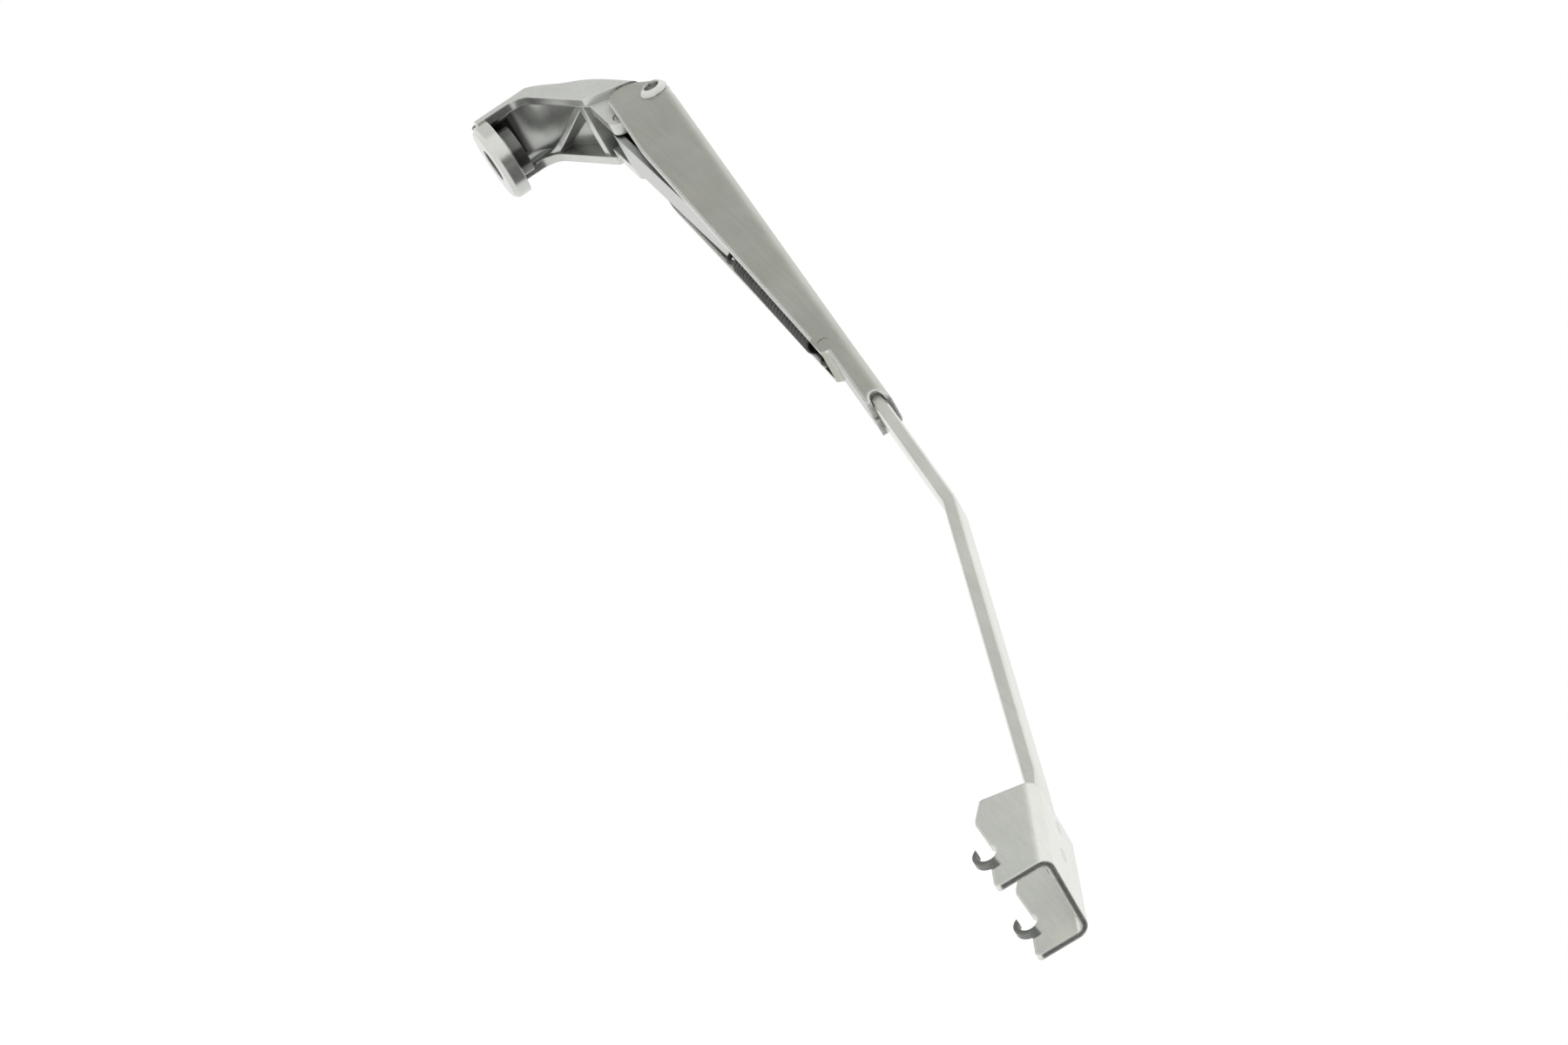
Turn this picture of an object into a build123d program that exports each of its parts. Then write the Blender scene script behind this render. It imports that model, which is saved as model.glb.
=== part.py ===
from build123d import *
from math import atan2, cos, degrees, hypot, radians, sin, tan
import os

os.makedirs("parts", exist_ok=True)

# A windscreen wiper arm. The origin is on the axis of the spindle bore, halfway up
# the boss. X runs to the tip, Z away from the glass.

# Boss on the wiper spindle, and the sleeve of its bore inside the head
boss_radius = 9.75
boss_height = 4.2
boss_chamfer = 1.0
shaft_bore_radius = 4.15
sleeve_wall = 2.0
sleeve_height = 3.4

# Retaining latch, a steel plate that slides in the boss
latch_thickness = 1.1
latch_width = 13.0
latch_floor = -0.85
latch_clearance = 0.3
latch_travel = 2.0
latch_hole_width = 0.35
latch_throat_radius = 3.5
latch_front_thickness = 3.6
tab_width = 9.0
tab_curl_radius = 1.3
tab_split_width = 1.4
tab_split_depth = 2.2

# Hinge of the arm on the head
pivot_x = 32.6
pivot_z = 35.1
hinge_pin_radius = 2.0
hinge_fit = 0.06
hinge_head_radius = 3.4
hinge_head_height = 1.9
dome_share = 0.6
arm_slope = 6.25

# Cast head
head_wall = 2.2
heel_setback = 0.9
heel_height = 6.2
heel_corner_radius = 4.5
crest_x = 4.8
crest_z = 23.6
crest_direction = 44.0
nose_angle = 122.0
nose_setback_length = 3.2
throat_x = -3.3
throat_z = 11.8
throat_radius = 6.0
underside_slope = 26.0
belly_radius = 5.0
shoulder_top_x = 27.5
shoulder_foot_x = 12.0
tongue_start_x = 18.0
cheek_clearance = 0.4
cheek_thickness = 3.0
rib_thickness = 1.5
rib_setback = 0.7
cross_rib_x = 14.0
throat_rib_x = -2.4
cast_edge_radius = 1.2

# Link pin in the head, and the pin in the arm that the spring pulls on
link_pin_x = 31.0
link_pin_z = 25.5
link_pin_radius = 1.7
link_pin_fit = 0.06
link_pin_wall = 1.5
anchor_setback_length = 2.6
anchor_depth = 1.35
anchor_pin_radius = 1.25

# Folded channel of the arm
sheet_thickness = 1.1
ear_setback_width = 0.25
channel_top = 3.5
ear_depth = 10.3
ear_reach = 9.7
ear_crown_setback = 1.5
ear_back_height = -4.0
ear_corner_radius = 4.3
ear_back_radius = 4.0
ear_crown_radius = 3.0
web_start = 4.3
width_taper_start = 12.0
depth_taper_start = 22.0
taper_blend_radius = 60.0
neck_start = 129.0
neck_start_depth = 6.5
neck_step_length = 1.3
neck_length = 26.2
fold_radius = 1.8
neck_seam_width = 0.9
mouth_notch_depth = 3.2

# Flat bar and its bend
rod_width = 6.0
rod_thickness = 2.8
rod_fit = 0.02
rod_straight_length = 41.5
rod_tip_length = 84.5
rod_bend_angle = 10.9
rod_bend_radius = 14.0
rod_edge_radius = 0.5

# Flared tongue of the bar, under the saddle's web
tongue_width = 10.5
tongue_thickness = 1.5
tongue_flare_length = 9.0
tongue_lap_length = 15.0

# Saddle that carries the blade, tilted a little to the bar
saddle_tilt = 4.0
saddle_thickness = 1.2
saddle_width = 18.2
saddle_setback_length = 0.8
saddle_length = 20.5
saddle_foot_length = 23.0
saddle_fold_radius = 2.4
saddle_rear_depth = 10.1
saddle_front_depth = 9.9
saddle_corner_radius = 0.8
lobe_depth = 11.4
lobe_start_length = 5.4
lobe_end_length = 10.2
lobe_corner_radius = 3.0
seat_length = 14.2
seat_depth = 10.3
seat_radius = 1.7
seat_lip_width = 0.9
seat_mouth_width = 2.4
seat_mouth_tilt = 17.0
saddle_rivet_radius = 1.25
saddle_rivet_head_radius = 2.0
saddle_rivet_head_height = 0.6
rivet_setback_length = 4.0
rivet_pitch_length = 7.0

# Link strap and tension spring
link_thickness = 1.6
link_width = 9.0
link_length = 71.0
link_hole_radius = 2.0
link_tail_length = 3.4
link_eye_gap = 1.2
spring_radius = 2.9
spring_wire_radius = 0.6
spring_sides = 12
wire_sides = 8
spring_turns = 26
spring_front_length = 3.8
spring_rear_length = 7.3
hook_clearance = 0.1
hook_turn = 250.0


def polar(radius, angle):
    """Point at a radius and an angle in degrees."""
    return (radius * cos(radians(angle)), radius * sin(radians(angle)))


channel_width = 2 * (boss_radius - ear_setback_width)
anchor_along = neck_start - anchor_setback_length

# Side planes of the head, the arm and the spring: x along, y up
head_side = Plane.XZ
arm_side = Plane(
    origin=(pivot_x, 0, pivot_z),
    x_dir=(cos(radians(arm_slope)), 0, -sin(radians(arm_slope))),
    z_dir=(0, -1, 0),
)
anchor_at = arm_side.from_local_coords(Vector(anchor_along, -anchor_depth, 0))
pull_length = hypot(anchor_at.X - link_pin_x, anchor_at.Z - link_pin_z)
pull_side = Plane(
    origin=(link_pin_x, 0, link_pin_z),
    x_dir=(anchor_at.X - link_pin_x, 0, anchor_at.Z - link_pin_z),
    z_dir=(0, -1, 0),
)


def seen_from_above(side):
    """Plane of a plan view with the origin and the x direction of a side plane."""
    return Plane(origin=side.origin, x_dir=side.x_dir, z_dir=side.y_dir)


def seen_along(side, distance, height):
    """Plane across a side plane's x direction: local x is lateral, y is up."""
    return Plane(
        origin=side.from_local_coords(Vector(distance, height, 0)),
        x_dir=(0, -1, 0),
        z_dir=-side.x_dir,
    )


# Head casting
head_inner = boss_radius - head_wall
cheek_outer = channel_width / 2 - sheet_thickness - cheek_clearance
cheek_inner = cheek_outer - cheek_thickness
cheek_radius = channel_top
link_cheek_radius = link_pin_radius + link_pin_wall
tall = pivot_z + 2 * channel_top
far_forward = pivot_x + channel_width
nose_direction = nose_angle - 90
boss_top = boss_height / 2
heel_x = heel_setback - boss_radius
latch_slot_front = boss_radius - latch_front_thickness


def on_crown(radius, angle):
    """Point on a circle about the hinge pin."""
    return (pivot_x + polar(radius, angle)[0], pivot_z + polar(radius, angle)[1])


def head_outline(setback):
    """Edges of the side outline of the head, its underside raised by a setback."""
    toe_x = link_pin_x + link_cheek_radius
    toe_z = link_pin_z - link_cheek_radius + setback
    rise = tan(radians(underside_slope))
    belly_x = throat_x + (toe_z - throat_z - setback) / rise
    with BuildLine() as outline:
        Spline(
            (heel_x, heel_height),
            (crest_x, crest_z),
            on_crown(cheek_radius, nose_angle),
            tangents=[(0, 1), polar(1, crest_direction), polar(1, nose_direction)],
        )
        ThreePointArc(
            on_crown(cheek_radius, nose_angle),
            on_crown(cheek_radius, nose_angle / 2),
            on_crown(cheek_radius, 0),
        )
        FilletPolyline(
            on_crown(cheek_radius, 0),
            (toe_x, toe_z),
            (belly_x, toe_z),
            (throat_x, throat_z + setback),
            (throat_x, 0),
            (heel_x, 0),
            (heel_x, heel_height),
            radius=[link_cheek_radius - setback, belly_radius, throat_radius, 0, 0],
        )
    return outline.edges()


# Space under the back web, wide behind the shoulder and narrow between the cheeks
inner_crown = on_crown(cheek_radius - head_wall, nose_angle)
inner_nose = (
    inner_crown[0] - polar(nose_setback_length, nose_direction)[0],
    inner_crown[1] - polar(nose_setback_length, nose_direction)[1],
)
inner_crest = (
    crest_x - polar(head_wall, crest_direction + 90)[0],
    crest_z - polar(head_wall, crest_direction + 90)[1],
)
with BuildPart() as head_space:
    with BuildSketch(head_side):
        with BuildLine():
            Spline(
                (heel_x + head_wall, heel_height),
                inner_crest,
                inner_nose,
                tangents=[(0, 1), polar(1, crest_direction), polar(1, nose_direction)],
            )
            Polyline(
                inner_nose,
                (inner_nose[0], tall),
                (far_forward, tall),
                (far_forward, boss_top),
                (heel_x + head_wall, boss_top),
                (heel_x + head_wall, heel_height),
            )
        make_face()
    extrude(amount=boss_radius, both=True)
    with BuildSketch(Plane.XY):
        with Locations((heel_x + head_wall, 0)):
            Rectangle(2 * far_forward, 2 * cheek_inner, align=(Align.MIN, Align.CENTER))
        with BuildLine():
            FilletPolyline(
                (tongue_start_x, -head_inner),
                (heel_x + head_wall, -head_inner),
                (heel_x + head_wall, head_inner),
                (tongue_start_x, head_inner),
                radius=heel_corner_radius - head_wall,
                close=False,
            )
            Line((tongue_start_x, head_inner), (tongue_start_x, -head_inner))
        make_face()
    extrude(amount=tall, mode=Mode.INTERSECT)

# Stiffening ribs inside the head: one across and one diagonal from the throat
diagonal_run = cross_rib_x - throat_rib_x
diagonal_length = hypot(diagonal_run, 2 * head_inner)
diagonal_angle = -degrees(atan2(2 * head_inner, diagonal_run))
with BuildPart() as head_ribs:
    with BuildSketch(Plane.XY):
        with Locations((cross_rib_x, 0)):
            Rectangle(rib_thickness, 2 * boss_radius)
        with Locations(((throat_rib_x + cross_rib_x) / 2, 0)):
            Rectangle(diagonal_length, rib_thickness, rotation=diagonal_angle)
    extrude(amount=tall)
    with BuildSketch(head_side):
        make_face(head_outline(rib_setback))
    extrude(amount=boss_radius, both=True, mode=Mode.INTERSECT)
    with BuildSketch(Plane.XY):
        Rectangle(2 * far_forward, 2 * head_inner + head_wall)
    extrude(amount=tall, mode=Mode.INTERSECT)


with BuildPart() as head_casting:
    with BuildSketch(head_side):
        make_face(head_outline(0))
    extrude(amount=boss_radius, both=True)
    with BuildSketch(Plane.XZ.offset(cheek_outer), Plane.XZ.offset(-cheek_outer - head_wall)):
        with BuildLine():
            Polyline(
                (shoulder_foot_x, throat_z),
                (shoulder_top_x, tall),
                (far_forward, tall),
                (far_forward, throat_z),
                close=True,
            )
        make_face()
    extrude(amount=head_wall, mode=Mode.SUBTRACT)
    back_edges = head_casting.edges().filter_by(GeomType.BSPLINE).filter_by(
        lambda edge: abs(abs(edge.center().Y) - boss_radius) < sheet_thickness / 10
    )
    fillet(back_edges, cast_edge_radius)
    with BuildSketch(Plane.XY):
        with BuildLine():
            FilletPolyline(
                (far_forward, -boss_radius),
                (heel_x, -boss_radius),
                (heel_x, boss_radius),
                (far_forward, boss_radius),
                radius=heel_corner_radius,
            )
            Line((far_forward, boss_radius), (far_forward, -boss_radius))
        make_face()
    extrude(amount=tall, mode=Mode.INTERSECT)
    add(head_space.part, mode=Mode.SUBTRACT)
    add(head_ribs.part)
    Cylinder(boss_radius, boss_height)
    chamfer(head_casting.faces().sort_by(Axis.Z)[0].outer_wire().edges(), boss_chamfer)
    with BuildSketch(Plane.XY.offset(boss_top)):
        Circle(shaft_bore_radius + sleeve_wall)
    extrude(amount=sleeve_height)
    Cylinder(shaft_bore_radius, 2 * (boss_top + sleeve_height), mode=Mode.SUBTRACT)
    with BuildSketch(Plane.XY.offset(latch_floor)):
        with Locations((latch_slot_front, 0)):
            Rectangle(
                2 * boss_radius,
                latch_width + 2 * latch_clearance,
                align=(Align.MAX, Align.CENTER),
            )
    extrude(amount=latch_thickness + 2 * latch_clearance, mode=Mode.SUBTRACT)
    with BuildSketch(head_side):
        with Locations((pivot_x, pivot_z)):
            Circle(hinge_pin_radius + hinge_fit)
        with Locations((link_pin_x, link_pin_z)):
            Circle(link_pin_radius)
    extrude(amount=boss_radius, both=True, mode=Mode.SUBTRACT)
head_casting.part.label = "head_casting"
export_step(head_casting.part, "parts/head_casting.step")

# Retaining latch: two prongs beside the bore and a curled finger tab at the heel
tab_reach = boss_radius + latch_travel + latch_clearance + tab_curl_radius
latch_middle = latch_floor + latch_clearance + latch_thickness / 2
curl_inner = tab_curl_radius - latch_thickness / 2
with BuildPart() as retaining_latch:
    with BuildSketch(Plane.XY.offset(latch_floor + latch_clearance)):
        with Locations((latch_slot_front - latch_clearance - latch_travel, 0)):
            Rectangle(boss_radius, latch_width, align=(Align.MAX, Align.CENTER))
        with Locations((-tab_reach, 0)):
            Rectangle(tab_reach, tab_width, align=(Align.MIN, Align.CENTER))
        Circle(shaft_bore_radius + latch_hole_width, mode=Mode.SUBTRACT)
        Rectangle(
            boss_radius,
            2 * (shaft_bore_radius + latch_hole_width),
            align=(Align.MIN, Align.CENTER),
            mode=Mode.SUBTRACT,
        )
        with Locations((-latch_travel, 0)):
            Circle(latch_throat_radius, mode=Mode.SUBTRACT)
    extrude(amount=latch_thickness)
    with BuildSketch(head_side):
        with Locations((-tab_reach, latch_middle + curl_inner)):
            Circle(tab_curl_radius)
            Circle(curl_inner, mode=Mode.SUBTRACT)
    extrude(amount=tab_width / 2, both=True)
    with Locations((-tab_reach, 0, latch_floor)):
        Box(
            tab_split_depth * 2,
            tab_split_width,
            4 * tab_curl_radius,
            mode=Mode.SUBTRACT,
        )
retaining_latch.part.label = "retaining_latch"
export_step(retaining_latch.part, "parts/retaining_latch.step")

# Pins: the hinge rivet in the arm, the link pin in the head, the spring's anchor
ear_face = channel_width / 2


with BuildPart() as hinge_pin:
    with BuildSketch(head_side):
        with Locations((pivot_x, pivot_z)):
            Circle(hinge_pin_radius)
    extrude(amount=ear_face, both=True)
    for side in (-1, 1):
        with BuildSketch(head_side.offset(side * ear_face)):
            with Locations((pivot_x, pivot_z)):
                Circle(hinge_head_radius)
        extrude(amount=side * hinge_head_height)
    rims = hinge_pin.edges().filter_by(GeomType.CIRCLE).group_by(Axis.Y)
    chamfer(rims[0] + rims[-1], hinge_head_height * dome_share)
hinge_pin.part.label = "hinge_pin"
export_step(hinge_pin.part, "parts/hinge_pin.step")

with BuildPart() as link_pin:
    with BuildSketch(head_side):
        with Locations((link_pin_x, link_pin_z)):
            Circle(link_pin_radius)
    extrude(amount=cheek_outer, both=True)
    chamfer(link_pin.edges().filter_by(GeomType.CIRCLE), link_pin_radius / 6)
link_pin.part.label = "link_pin"
export_step(link_pin.part, "parts/link_pin.step")

# Folded channel: side outline, then plan outline, then the hollow
neck_end = neck_start + neck_length
neck_bottom = channel_top - 2 * sheet_thickness - rod_thickness - 2 * rod_fit
rod_middle = channel_top - sheet_thickness - rod_fit - rod_thickness / 2
neck_width = rod_width + 2 * sheet_thickness + 2 * rod_fit
arm_top = seen_from_above(arm_side)


def half_width_at(along):
    """Half of the channel's outer width at a distance from the hinge."""
    share = (along - width_taper_start) / (neck_start - width_taper_start)
    return (channel_width + share * (neck_width - channel_width)) / 2


def channel_plan(inset):
    """Edges of the channel's outline from above, drawn inside by an inset."""
    wide = channel_width / 2 - inset
    narrow = neck_width / 2 - inset
    half = [
        (-2 * ear_reach, wide),
        (width_taper_start, wide),
        (neck_start, narrow),
        (neck_end + ear_reach, narrow),
    ]
    with BuildLine() as outline:
        near = FilletPolyline(*half, radius=taper_blend_radius)
        far = mirror(near, about=Plane.XZ)
        Line(near @ 0, far @ 0)
        Line(near @ 1, far @ 1)
    return outline.edges()


with BuildPart() as channel_hollow:
    with BuildSketch(arm_side):
        with Locations((-2 * ear_reach, channel_top - sheet_thickness)):
            Rectangle(2 * ear_reach + neck_start, 2 * ear_depth, align=(Align.MIN, Align.MAX))
        with Locations((neck_start, channel_top - sheet_thickness)):
            Rectangle(
                2 * neck_length,
                rod_thickness + 2 * rod_fit,
                align=(Align.MIN, Align.MAX),
            )
        with Locations((-2 * ear_reach, -2 * ear_depth)):
            Rectangle(2 * ear_reach + web_start, 4 * ear_depth, align=(Align.MIN, Align.MIN))
    extrude(amount=channel_width, both=True)
    with BuildSketch(arm_top):
        make_face(channel_plan(sheet_thickness))
    extrude(amount=2 * ear_depth, both=True, mode=Mode.INTERSECT)

with BuildPart() as arm_channel:
    with BuildSketch(arm_top.offset(channel_top)):
        make_face(channel_plan(0))
    extrude(amount=-2 * ear_depth)
    top_face = arm_channel.faces().sort_by(Axis(arm_side.origin, arm_side.y_dir))[-1]
    fold_edges = top_face.edges().filter_by(lambda edge: abs(edge.center().Y) > neck_width / 4)
    fillet(fold_edges, fold_radius)
    with BuildSketch(arm_side):
        with BuildLine():
            FilletPolyline(
                (neck_end, channel_top),
                (-ear_crown_setback, channel_top),
                (-ear_reach, ear_back_height),
                (-ear_reach, -ear_depth),
                (depth_taper_start, -ear_depth),
                (neck_start, channel_top - neck_start_depth),
                (neck_start + neck_step_length, neck_bottom),
                (neck_end, neck_bottom),
                radius=[
                    0,
                    ear_crown_radius,
                    ear_back_radius,
                    ear_corner_radius,
                    taper_blend_radius,
                    neck_step_length / 2,
                    neck_step_length / 2,
                    0,
                ],
                close=True,
            )
        make_face()
    extrude(amount=channel_width, both=True, mode=Mode.INTERSECT)
    add(channel_hollow.part, mode=Mode.SUBTRACT)
    with BuildSketch(arm_side):
        with Locations((neck_end, rod_middle)):
            Ellipse(mouth_notch_depth, rod_thickness / 2)
        Circle(hinge_pin_radius)
        with Locations((anchor_along, -anchor_depth)):
            Circle(anchor_pin_radius)
    extrude(amount=channel_width, both=True, mode=Mode.SUBTRACT)
    with BuildSketch(arm_top):
        with Locations((neck_start + neck_step_length, 0)):
            Rectangle(2 * neck_length, neck_seam_width, align=(Align.MIN, Align.CENTER))
    extrude(amount=-ear_depth, mode=Mode.SUBTRACT)
arm_channel.part.label = "arm_channel"
export_step(arm_channel.part, "parts/arm_channel.step")

anchor_seat = half_width_at(anchor_along + anchor_pin_radius)
with BuildPart() as spring_anchor_pin:
    with BuildSketch(arm_side):
        with Locations((anchor_along, -anchor_depth)):
            Circle(anchor_pin_radius)
    extrude(amount=anchor_seat, both=True)
spring_anchor_pin.part.label = "spring_anchor_pin"
export_step(spring_anchor_pin.part, "parts/spring_anchor_pin.step")

# Flat bar: straight out of the neck, one bend, then a flared tongue
rod_start = neck_start + neck_step_length
bend_at = arm_side.from_local_coords(Vector(neck_end + rod_straight_length, rod_middle, 0))
rod_slope = arm_slope + rod_bend_angle
rod_direction = Vector(cos(radians(rod_slope)), 0, -sin(radians(rod_slope)))
rod_tip_side = Plane(
    origin=bend_at + rod_direction * rod_tip_length,
    x_dir=rod_direction,
    z_dir=(0, -1, 0),
)
saddle_slope = rod_slope + saddle_tilt
tip_side = Plane(
    origin=rod_tip_side.from_local_coords(Vector(tongue_flare_length, 0, 0)),
    x_dir=(cos(radians(saddle_slope)), 0, -sin(radians(saddle_slope))),
    z_dir=(0, -1, 0),
)
tip_top = seen_from_above(tip_side)
rivet_places = [(rivet_setback_length, 0), (rivet_setback_length + rivet_pitch_length, 0)]
with BuildPart() as rod:
    with BuildLine(arm_side) as rod_line:
        FilletPolyline(
            (rod_start, rod_middle),
            (neck_end + rod_straight_length, rod_middle),
            (
                neck_end + rod_straight_length + polar(rod_tip_length, rod_bend_angle)[0],
                rod_middle - polar(rod_tip_length, rod_bend_angle)[1],
            ),
            radius=rod_bend_radius,
        )
    with BuildSketch(seen_along(arm_side, rod_start, rod_middle)):
        RectangleRounded(rod_width, rod_thickness, rod_edge_radius)
    sweep(path=rod_line.wire())
    with BuildSketch(seen_along(rod_tip_side, 0, 0)):
        RectangleRounded(rod_width, rod_thickness, rod_edge_radius)
    with BuildSketch(seen_along(tip_side, 0, 0)):
        RectangleRounded(tongue_width, tongue_thickness, rod_edge_radius)
    loft()
    with BuildSketch(tip_top):
        with Locations((tongue_lap_length, 0)):
            SlotOverall(2 * tongue_lap_length, tongue_width, align=(Align.MAX, Align.CENTER))
        Rectangle(2 * tongue_lap_length, tongue_width, align=(Align.MAX, Align.CENTER), mode=Mode.SUBTRACT)
    extrude(amount=tongue_thickness / 2, both=True)
    with BuildSketch(tip_top):
        with Locations(*rivet_places):
            Circle(saddle_rivet_radius)
    extrude(amount=rod_thickness, both=True, mode=Mode.SUBTRACT)
rod.part.label = "rod"
export_step(rod.part, "parts/rod.step")

# Saddle: a folded channel whose walls hold the blade's cross pin
web_under = tongue_thickness / 2
web_top = web_under + saddle_thickness
seat_height = web_top - seat_depth
with BuildPart() as saddle_hollow:
    with BuildSketch(seen_along(tip_side, 0, web_under)) as hollow_section:
        Rectangle(
            saddle_width - 2 * saddle_thickness,
            2 * lobe_depth,
            align=(Align.CENTER, Align.MAX),
        )
        fillet(hollow_section.vertices().group_by(Axis.Y)[-1], saddle_fold_radius - saddle_thickness)
    extrude(amount=-2 * saddle_length, both=True)

with BuildPart() as blade_saddle:
    with BuildSketch(seen_along(tip_side, 0, web_top)) as saddle_section:
        Rectangle(saddle_width, 2 * lobe_depth, align=(Align.CENTER, Align.MAX))
        fillet(saddle_section.vertices().group_by(Axis.Y)[-1], saddle_fold_radius)
    extrude(amount=-saddle_foot_length)
    add(saddle_hollow.part, mode=Mode.SUBTRACT)
    with BuildSketch(tip_side):
        with BuildLine():
            FilletPolyline(
                (saddle_setback_length, web_top),
                (saddle_length, web_top),
                (saddle_foot_length, web_top - saddle_front_depth),
                (seat_length, web_top - saddle_front_depth),
                (lobe_end_length, web_top - lobe_depth),
                (lobe_start_length, web_top - lobe_depth),
                (saddle_setback_length, web_top - saddle_rear_depth),
                radius=[0, 0, saddle_corner_radius, 0, 0, lobe_corner_radius, saddle_corner_radius],
                close=True,
            )
        make_face()
        with Locations((seat_length, seat_height)):
            Circle(seat_radius + seat_lip_width)
            Circle(seat_radius, mode=Mode.SUBTRACT)
            Rectangle(
                2 * lobe_depth,
                seat_mouth_width,
                rotation=180 + seat_mouth_tilt,
                align=(Align.MIN, Align.CENTER),
                mode=Mode.SUBTRACT,
            )
    extrude(amount=saddle_width, both=True, mode=Mode.INTERSECT)
    with BuildSketch(tip_top):
        with Locations(*rivet_places):
            Circle(saddle_rivet_radius)
    extrude(amount=saddle_fold_radius, both=True, mode=Mode.SUBTRACT)
blade_saddle.part.label = "blade_saddle"
export_step(blade_saddle.part, "parts/blade_saddle.step")

with BuildPart() as saddle_rivets:
    with BuildSketch(tip_top.offset(-web_under)):
        with Locations(*rivet_places):
            Circle(saddle_rivet_radius)
    extrude(amount=web_top + web_under)
    with BuildSketch(tip_top.offset(-web_under - saddle_rivet_head_height)):
        with Locations(*rivet_places):
            Circle(saddle_rivet_head_radius)
    extrude(amount=saddle_rivet_head_height)
saddle_rivets.part.label = "saddle_rivets"
export_step(saddle_rivets.part, "parts/saddle_rivets.step")

# Link strap: an eye curled round the link pin and a flat tail with the spring's hole
eye_inner = link_pin_radius + link_pin_fit
eye_outer = eye_inner + link_thickness
link_top = -eye_inner
link_under = -eye_outer
link_middle = link_under + link_thickness / 2
hole_along = link_length - link_tail_length
strap_lift = degrees(atan2(-link_middle, hole_along))
strap_end = pull_side.from_local_coords(Vector(*polar(link_length, strap_lift)))
strap_side = Plane(
    origin=pull_side.origin,
    x_dir=strap_end - pull_side.origin,
    z_dir=pull_side.z_dir,
)
with BuildPart() as spring_link:
    with BuildSketch(strap_side):
        Circle(eye_outer)
        with Locations((0, link_under)):
            Rectangle(link_length, link_thickness, align=(Align.MIN, Align.MIN))
        Circle(eye_inner, mode=Mode.SUBTRACT)
        with Locations((0, link_top)):
            Rectangle(2 * eye_outer, link_eye_gap, align=(Align.MIN, Align.MIN), mode=Mode.SUBTRACT)
    extrude(amount=link_width / 2, both=True)
    with BuildSketch(seen_from_above(strap_side)):
        with Locations((link_length, 0)):
            SlotOverall(2 * link_length, link_width, align=(Align.MAX, Align.CENTER))
        with Locations((hole_along, 0)):
            Circle(link_hole_radius, mode=Mode.SUBTRACT)
    extrude(amount=2 * eye_outer, both=True, mode=Mode.INTERSECT)
spring_link.part.label = "spring_link"
export_step(spring_link.part, "parts/spring_link.step")

# Tension spring: close turns, a hook in the link's hole and a hook on the anchor pin
coil_start = link_length + spring_front_length
coil_end = pull_length - spring_rear_length
turn_pitch = (coil_end - coil_start) / spring_turns
groove_radius = spring_radius - spring_wire_radius / 2
hook_path_radius = spring_radius - spring_wire_radius
hook_reach = hook_path_radius - spring_wire_radius - hook_clearance
front_ring_at = hypot(hole_along, link_middle) + link_hole_radius + hook_reach * cos(
    atan2(link_thickness / 2, hook_reach)
)
rear_ring_radius = anchor_pin_radius + spring_wire_radius + hook_clearance
with BuildPart() as coil:
    for turn in range(spring_turns):
        turn_start = coil_start + turn * turn_pitch
        for start, radius in ((turn_start, spring_radius), (turn_start + turn_pitch / 2, groove_radius)):
            with BuildSketch(seen_along(pull_side, start, 0)):
                RegularPolygon(radius, spring_sides)
                RegularPolygon(hook_path_radius - spring_wire_radius, wire_sides, mode=Mode.SUBTRACT)
            extrude(amount=-turn_pitch / 2)

with BuildPart() as tension_spring:
    with BuildLine(pull_side) as front_hook:
        ring = CenterArc((front_ring_at, 0), hook_path_radius, 90, hook_turn)
        Line((coil_start + spring_wire_radius, hook_path_radius), ring @ 0)
    with BuildSketch(Plane(origin=front_hook.wire() @ 0, z_dir=front_hook.wire() % 0)):
        RegularPolygon(spring_wire_radius, wire_sides)
    sweep(path=front_hook.wire())
    with BuildLine(pull_side) as rear_hook:
        ring = CenterArc((pull_length, 0), rear_ring_radius, 90, -hook_turn)
        Line((coil_end - spring_wire_radius, hook_path_radius), ring @ 0)
    with BuildSketch(Plane(origin=rear_hook.wire() @ 0, z_dir=rear_hook.wire() % 0)):
        RegularPolygon(spring_wire_radius, wire_sides)
    sweep(path=rear_hook.wire())
    add(coil.part)
tension_spring.part.label = "tension_spring"
export_step(tension_spring.part, "parts/tension_spring.step")
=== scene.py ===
"""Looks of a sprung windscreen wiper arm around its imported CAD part, in metres."""

import logging
import math
from dataclasses import dataclass
from enum import Enum

import bpy
import numpy as np
from mathutils import Matrix, Vector

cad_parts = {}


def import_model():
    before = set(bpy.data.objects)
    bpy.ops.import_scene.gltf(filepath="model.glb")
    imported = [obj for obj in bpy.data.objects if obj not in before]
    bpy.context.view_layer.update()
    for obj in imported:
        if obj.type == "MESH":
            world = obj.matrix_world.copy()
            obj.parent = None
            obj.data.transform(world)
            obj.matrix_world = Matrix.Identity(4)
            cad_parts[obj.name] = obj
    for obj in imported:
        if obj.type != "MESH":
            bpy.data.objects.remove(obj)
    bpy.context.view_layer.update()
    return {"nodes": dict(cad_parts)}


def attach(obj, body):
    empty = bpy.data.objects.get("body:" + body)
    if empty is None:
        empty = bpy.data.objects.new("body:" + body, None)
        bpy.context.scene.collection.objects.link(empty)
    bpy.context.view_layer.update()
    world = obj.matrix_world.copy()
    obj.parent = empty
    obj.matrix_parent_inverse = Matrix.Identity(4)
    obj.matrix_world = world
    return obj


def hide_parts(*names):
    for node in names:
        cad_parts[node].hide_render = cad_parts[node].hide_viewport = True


log = logging.getLogger("wiper_arm")

Colour = tuple[float, float, float]
Point = tuple[float, float, float]
Shell = tuple[np.ndarray, np.ndarray]

BLACK: Colour = (0.0, 0.0, 0.0)
WHITE: Colour = (1.0, 1.0, 1.0)
# Near-black colour of painted shade, in recesses and in the painted dark zones
SHADE_COLOUR: Colour = (0.07, 0.075, 0.068)

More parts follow.
